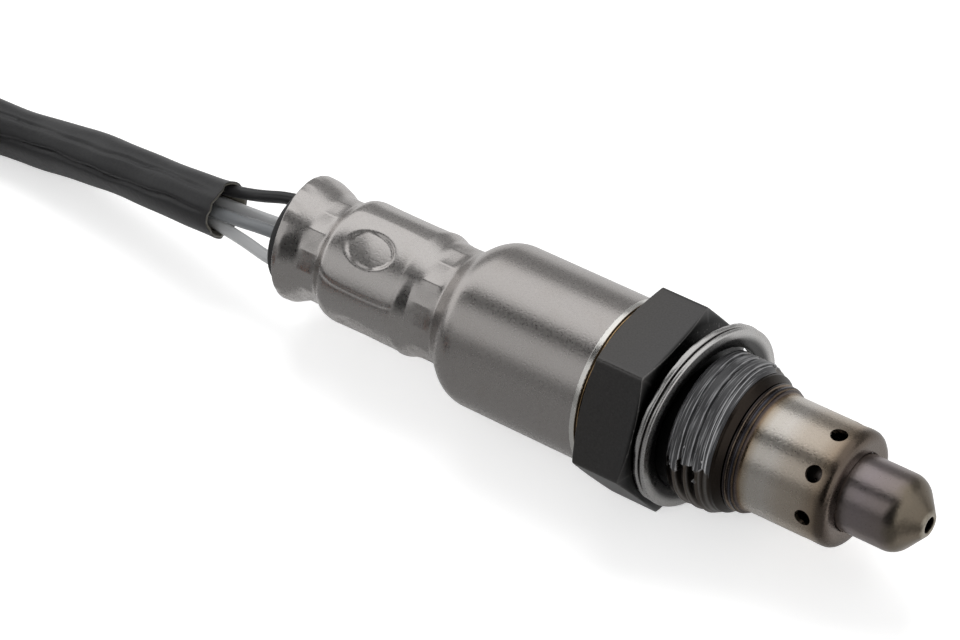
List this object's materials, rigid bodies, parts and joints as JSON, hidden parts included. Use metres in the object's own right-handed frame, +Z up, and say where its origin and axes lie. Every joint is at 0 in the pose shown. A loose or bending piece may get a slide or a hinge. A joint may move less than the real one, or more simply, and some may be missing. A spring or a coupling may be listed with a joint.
{
  "type": "oxygen sensor",
  "caption": "Threaded exhaust gas oxygen sensor: hexagon shell, vented double guard tube, crimped sleeve, insulated leads, and a coiled cable ending in a plug.",
  "frame": {"origin": "on the sensor's axis, at the rear end of the thread's full crest", "axes": "+X along the sensor's axis towards its tip, +Z up with one flat of the hexagon on the ground"},
  "size_m": [0.2026, 0.086, 0.0225],
  "materials": {
    "shell_steel": "turned, darkened by heat, satin",
    "ring_steel": "folded sheet, satin",
    "sleeve_steel": "deep drawn stainless, bright satin",
    "guard_steel": "drawn heat-resistant steel, straw tinted",
    "bush_ceramic": "fired ceramic, matt",
    "talc_grey": "pressed talc",
    "element_ceramic": "laminated zirconia, matt",
    "contact_nickel": "stamped nickel alloy",
    "grommet_rubber": "moulded, matt black",
    "lead_black": "satin insulation",
    "lead_grey": "satin insulation",
    "lead_white": "satin insulation",
    "cable_black": "smooth flexible sleeve",
    "connector_plastic": "moulded, fine texture",
    "lock_plastic": "moulded",
    "seal_rubber": "silicone",
    "terminal_tin": "tin plated"
  },
  "bodies": {
    "root": {"hex_shell": "shell_steel", "sealing_ring": "ring_steel", "protective_sleeve": "sleeve_steel", "outer_guard_tube": "guard_steel", "inner_guard_tube": "guard_steel", "lower_ceramic_bush": "bush_ceramic", "talc_ring": "talc_grey", "upper_ceramic_bush": "bush_ceramic", "disc_spring": "sleeve_steel", "sensor_element": "element_ceramic", "contact_holder_upper": "bush_ceramic", "contact_holder_lower": "bush_ceramic", "holder_clamp_ring": "sleeve_steel", "contact_spring_1": "contact_nickel", "contact_spring_2": "contact_nickel", "contact_spring_3": "contact_nickel", "contact_spring_4": "contact_nickel", "grommet": "grommet_rubber", "lead_black": "lead_black", "lead_grey": "lead_grey", "lead_white_lower": "lead_white", "lead_white_rear": "lead_white", "cable_sleeve": "cable_black", "cable_coil": "cable_black", "connector_boot": "grommet_rubber", "connector_housing": "connector_plastic", "connector_lock": "lock_plastic", "interface_seal": "seal_rubber", "terminal_1": "terminal_tin", "terminal_2": "terminal_tin", "terminal_3": "terminal_tin", "terminal_4": "terminal_tin"}
  },
  "joints": []
}
